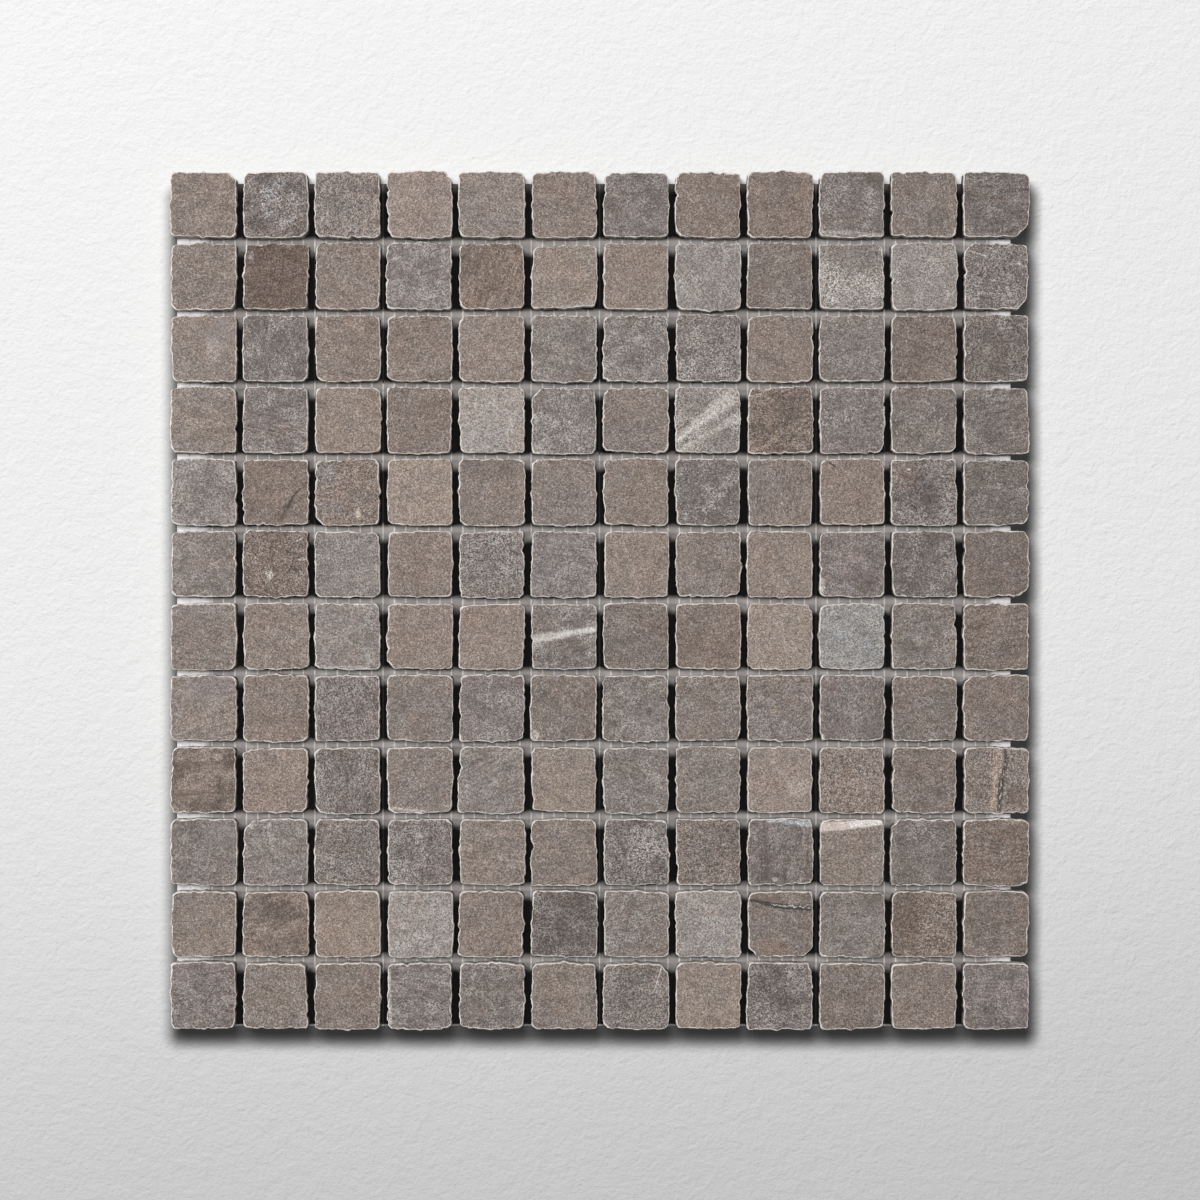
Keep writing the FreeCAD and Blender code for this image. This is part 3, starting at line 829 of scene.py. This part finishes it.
def fitChip(model, place, outline):
    row, column = place
    chance = random.Random(sheet["seed"] * 1000 + row * 20 + column)
    middle, points, low, high = outline
    worn, arris = wornOutline(middle, points, chance)
    steps = len(worn)
    tall = (high - low) / blank["height"]
    faceLevel = blank["height"]
    chip = copyPiece(model)
    places = [0.0] * (3 * len(chip.data.vertices))
    chip.data.vertices.foreach_get("co", places)
    for index in range(0, len(places), 3):
        x, y, z = places[index:index + 3]
        a, b = x / blank["half"], y / blank["half"]
        reach = max(abs(a), abs(b))
        if reach < 1e-6:
            places[index], places[index + 1] = middle.x, middle.y
        else:
            turn = squareAngle(a / reach, b / reach) * steps / 8
            whole = int(turn)
            part = turn - whole
            edge = worn[whole % steps].lerp(worn[(whole + 1) % steps], part)
            broad = arris[whole % steps] * (1 - part) + arris[(whole + 1) % steps] * part
            down = faceLevel - z
            if reach > 0.9 and down < 0.0006:
                reach = 1 - (1 - reach) * broad
                z = faceLevel - down * broad
            point = middle + (edge - middle) * reach
            places[index], places[index + 1] = point.x, point.y
        places[index + 2] = low + z * tall
    chip.data.vertices.foreach_set("co", places)
    wearAndPaintedLight = [0.0] * len(chip.data.vertices)
    chip.data.attributes["wearAndPaintedLight"].data.foreach_get("value", wearAndPaintedLight)
    # painted shade: the top arris is painted less pale than its wear, less so each row down
    topArrisShadeFactor = min(blank["topArrisPaintedShade"][0] + row * blank["topArrisPaintedShade"][1], 1.0)
    # painted light: walls facing the top of the sheet, below the first row, and walls facing its bottom,
    # above the last row, are painted pale
    for index, vertex in enumerate(model.data.vertices):
        inside = blank["height"] - vertex.co.z > 0.0003
        if row > 1 and vertex.co.y > abs(vertex.co.x):
            wearAndPaintedLight[index] = max(wearAndPaintedLight[index], blank["paintedLightTopWalls"]) if inside else wearAndPaintedLight[index] * topArrisShadeFactor
        if row < sheet["rows"] and inside and -vertex.co.y > abs(vertex.co.x):
            wearAndPaintedLight[index] = max(wearAndPaintedLight[index], blank["paintedLightBottomWalls"])
    chip.data.attributes["wearAndPaintedLight"].data.foreach_set("value", wearAndPaintedLight)

    # the stone's own directions: most beds lie near level across the face
    lean = chance.uniform(-tiltScatter, tiltScatter) + (math.pi / 2 if place in uprightBeds else 0.0)
    shift = [chance.uniform(-2, 2) for _ in range(3)]
    turnCos, turnSin = math.cos(lean), math.sin(lean)
    bed = []
    for index in range(0, len(places), 3):
        x, y, z = places[index] - middle.x, places[index + 1] - middle.y, places[index + 2]
        bed += [x * turnCos + y * turnSin + shift[0], y * turnCos - x * turnSin + shift[1], z + shift[2]]
    chip.data.attributes.new("bed", "FLOAT_VECTOR", "POINT").data.foreach_set("vector", bed)
    colour, look = chipColours(place, chance)
    for name, values in (("stoneColour", colour), ("stoneLook", look)):
        attribute = chip.data.attributes.new(name, "FLOAT_COLOR", "POINT")
        attribute.data.foreach_set("color", list(values) * len(chip.data.vertices))
    return chip


roughening = {
    "flank": {"strength": 0.0007, "scale": 0.0035, "depth": 2},
    "arris": {"strength": 0.00034, "scale": 0.0013, "depth": 3},
    "face": {"strength": 0.00022, "scale": 0.0060, "depth": 3},
}


def roughen(piece):
    for group, facts in roughening.items():
        texture = bpy.data.textures.get(group + "Clouds")
        if texture is None:
            texture = bpy.data.textures.new(group + "Clouds", "CLOUDS")
            texture.noise_scale = facts["scale"]
            texture.noise_depth = facts["depth"]
        modifier = piece.modifiers.new(group, "DISPLACE")
        modifier.texture = texture
        modifier.texture_coords = "LOCAL"
        modifier.vertex_group = group
        modifier.direction = "Z" if group == "face" else "NORMAL"
        modifier.strength = facts["strength"]
        modifier.mid_level = 0.5
    applyModifiers(piece)


chipBlank = modelBlank()
print("chip blank:", len(chipBlank.data.vertices), "points")
plainStone = stoneMaterial("tumbledStone")
for row in range(1, sheet["rows"] + 1):
    nodeName = f"tile_row_{row:02d}"
    outlines = readOutlines(nodes[nodeName])
    chips = []
    for column in range(1, sheet["columns"] + 1):
        place = (row, column)
        chip = fitChip(chipBlank, place, outlines[column])
        stone = plainStone
        if place in chipMarks:
            stone = stoneMaterial(f"tumbledStoneRow{row}Column{column}", place)
        chip.data.materials.append(stone)
        chips.append(chip)
    rowPiece = joinPieces(chips, f"tileRow{row:02d}")
    roughen(rowPiece)
    makeActive(rowPiece)
    bpy.ops.object.shade_smooth_by_angle(angle=math.radians(50))
    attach(rowPiece, "root")
    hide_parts(nodeName)
bpy.data.objects.remove(chipBlank)
print("chips made:", sheet["rows"] * sheet["columns"])


# net: upper strands up the sheet, lower strands across it

net = {
    # painted shade: the strands' upper side is painted grey for the shade of the joints; backColour is their
    # own white, seen from behind
    "strandColour": (172, 171, 169), "fibreColour": (148, 147, 144),
    "backColour": (238, 237, 234),
    "sides": 6, "turns": 75,
    "sway": 0.00022, "swayScale": 0.011,
    "swell": 0.00010, "swellScale": 0.0022,
    # painted shade: where the band painted light along each horizontal joint ends below and above its
    # middle, how dark the net is painted outside it, and how ragged its edges are
    "paintedBandBelow": (-0.0056, -0.0025), "paintedBandAbove": (0.0022, 0.0004), "dark": 0.04, "ragged": 0.003,
    # the paler ends: where they start, left and right, and how light the top end is painted, as painted
    # light
    "paleColour": (184, 181, 183), "paleFrom": 0.1385, "topFrom": 0.1448, "topEnd": 0.1488,
    "topLight": 0.38, "bottomEnd": (-0.15135, -0.15155), "paleSideStrands": 0.6, "strandWidth": 0.0006,
}


def towardsBack(tree):
    # 1 on what is seen from behind the sheet, which shows the net's and film's paler colour; the upper side
    # is painted darker as shade
    normal = addNode(tree, "NewGeometry").outputs["True Normal"]
    return spread(tree, addNode(tree, "SeparateXYZ", None, {0: normal}).outputs[2], -0.2, -0.4)


def paintedJointShade(tree, where, cloudy):
    # painted shade: the net and film are painted dark in the vertical joints, where the shade lies, and
    # light in a band along each horizontal joint, with a painted shadow just under the chips above; their
    # top and bottom ends are painted light where light gets into the joints
    up = addNode(tree, "SeparateXYZ", None, {0: where}).outputs[1]
    ragged = times(tree, centred(tree, cloudy), net["ragged"])
    half = sheet["rowPitch"] / 2
    offset = plus(tree, plus(tree, up, ragged), half)
    offset = minus(tree, maths(tree, "FLOORED_MODULO", offset, sheet["rowPitch"]), half)
    below = spread(tree, offset, *net["paintedBandBelow"], smooth=True)
    above = spread(tree, offset, *net["paintedBandAbove"], smooth=True)
    end = spread(tree, up, net["topFrom"], net["topEnd"], 0.0, net["topLight"], smooth=True)
    end = maths(tree, "MAXIMUM", spread(tree, up, *net["bottomEnd"]), end)
    light = maths(tree, "MAXIMUM", times(tree, below, above), end)
    return spread(tree, light, 0.0, 1.0, net["dark"], 1.0)


# paler towards the left and right ends of the net and film
def paleSideEnds(tree, where, cloudy):
    aside = maths(tree, "ABSOLUTE", addNode(tree, "SeparateXYZ", None, {0: where}).outputs[0])
    aside = plus(tree, aside, times(tree, centred(tree, cloudy), 0.006))
    return spread(tree, aside, net["paleFrom"], net["paleFrom"] + 0.003, smooth=True)


def netMaterial():
    material, tree, shader = newMaterial("netStrand")
    where = objectPlace(tree)
    fibres = grainField(tree, where, 2600.0, 3.0, 0.7)
    cloudy = grainField(tree, where, 300.0, 3.0)
    amount = plus(tree, times(tree, fibres, 0.6), times(tree, cloudy, 0.5))
    colour = mixColour(tree, spread(tree, amount, 0.35, 0.75), linear(*net["fibreColour"]),
                       linear(*net["strandColour"]))
    bare = times(tree, paleSideEnds(tree, where, cloudy), net["paleSideStrands"])
    colour = mixColour(tree, bare, colour, linear(*net["paleColour"]))
    # painted shade: dark in the vertical joints, light along the horizontal ones and at the net's top and
    # bottom ends
    colour = darkened(tree, colour, paintedJointShade(tree, where, cloudy))
    colour = mixColour(tree, towardsBack(tree), colour, linear(*net["backColour"]))
    tree.links.new(colour, shader.inputs["Base Color"])
    tree.links.new(spread(tree, fibres, 0.3, 0.7, 0.45, 0.7), shader.inputs["Roughness"])
    shader.inputs["Specular IOR Level"].default_value = 0.06
    addBump(tree, shader, fibres, 0.5, 0.00008)
    return material


def modelStrand(low, high, lengthwise):
    # a flat round-edged strand along X or Y between two corners
    size = high - low
    middle = (low + high) / 2
    clearSelection()
    bpy.ops.mesh.primitive_cylinder_add(vertices=net["sides"], radius=1.0, depth=1.0, end_fill_type="NGON")
    piece = bpy.context.object
    bpy.ops.object.mode_set(mode="EDIT")
    bpy.ops.mesh.select_mode(type="EDGE")
    bpy.ops.mesh.select_all(action="DESELECT")
    bpy.ops.object.mode_set(mode="OBJECT")
    for edge in piece.data.edges:
        first, last = (piece.data.vertices[index].co for index in edge.vertices)
        edge.select = abs(first.z - last.z) > 0.5
    bpy.ops.object.mode_set(mode="EDIT")
    bpy.ops.mesh.subdivide(number_cuts=net["turns"] - 1)
    bpy.ops.object.mode_set(mode="OBJECT")
    length = size[lengthwise]
    across = size[1 - lengthwise]
    piece.rotation_euler = (0.0, math.pi / 2, 0.0) if lengthwise == 0 else (math.pi / 2, 0.0, 0.0)
    piece.scale = (size.z / 2, across / 2, length) if lengthwise == 0 else (across / 2, size.z / 2, length)
    piece.location = middle
    applyPlace(piece)
    return piece


def layNet(nodeName, pieceName, lengthwise, count, sideways):
    low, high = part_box(nodeName)
    width = net["strandWidth"]
    spare = high[1 - lengthwise] - low[1 - lengthwise] - width
    first = low.copy()
    last = high.copy()
    last[1 - lengthwise] = low[1 - lengthwise] + width
    model = modelStrand(first, last, lengthwise)
    strands = [model]
    for index in range(1, count):
        strand = copyPiece(model)
        move = Vector((0.0, 0.0, 0.0))
        move[1 - lengthwise] = spare * index / (count - 1)
        strand.data.transform(Matrix.Translation(move))
        strands.append(strand)
    piece = joinPieces(strands, pieceName)
    for name in ("sway", "swell"):
        texture = bpy.data.textures.new(pieceName + name, "CLOUDS")
        texture.noise_scale = net[name + "Scale"]
        modifier = piece.modifiers.new(name, "DISPLACE")
        modifier.texture = texture
        modifier.texture_coords = "LOCAL"
        modifier.direction = sideways
        modifier.strength = net[name]
        modifier.mid_level = 0.5
    applyModifiers(piece)
    makeActive(piece)
    bpy.ops.object.shade_smooth_by_angle(angle=math.radians(60))
    piece.data.materials.append(strandMaterial)
    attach(piece, "root")
    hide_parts(nodeName)
    return piece


strandMaterial = netMaterial()
netPieces = [layNet("net_warp", "netWarp", 1, 74, "X"), layNet("net_weft", "netWeft", 0, 75, "Y")]
print("net laid")


# film between the strands

film = {
    # the film's upper side is grey, partly its own colour and partly painted shade of the joints; backColour
    # is the paler colour seen from behind
    "colour": (132, 128, 126), "thin": (120, 115, 113), "backColour": (196, 193, 190),
}


def filmMaterial():
    material, tree, shader = newMaterial("bondFilm")
    where = objectPlace(tree)
    cloudy = grainField(tree, where, 160.0, 4.0, 0.6, 0.4)
    thickness = spread(tree, cloudy, 0.35, 0.65)
    colour = mixColour(tree, thickness, linear(*film["thin"]), linear(*film["colour"]))
    colour = mixColour(tree, paleSideEnds(tree, where, cloudy), colour, linear(*net["paleColour"]))
    # painted shade: dark in the vertical joints, light along the horizontal ones and at the film's top and
    # bottom ends
    colour = darkened(tree, colour, paintedJointShade(tree, where, cloudy))
    colour = mixColour(tree, towardsBack(tree), colour, linear(*film["backColour"]))
    tree.links.new(colour, shader.inputs["Base Color"])
    shader.inputs["Roughness"].default_value = 0.8
    shader.inputs["Specular IOR Level"].default_value = 0.03
    fine = grainField(tree, where, 900.0, 3.0, 0.6)
    addBump(tree, shader, fine, 0.5, 0.0001)
    return material


filmNode = nodes["bond_film"]
filmNode.data.materials.clear()
filmNode.data.materials.append(filmMaterial())
print("film finished")

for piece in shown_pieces():
    litBy["sheet"].objects.link(piece)
for piece in netPieces + [filmNode]:
    litBy["net"].objects.link(piece)


triangles = 0
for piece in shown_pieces():
    piece.data.calc_loop_triangles()
    triangles += len(piece.data.loop_triangles)
    print(piece.name, len(piece.data.loop_triangles), "triangles")
print("all pieces:", triangles, "triangles")
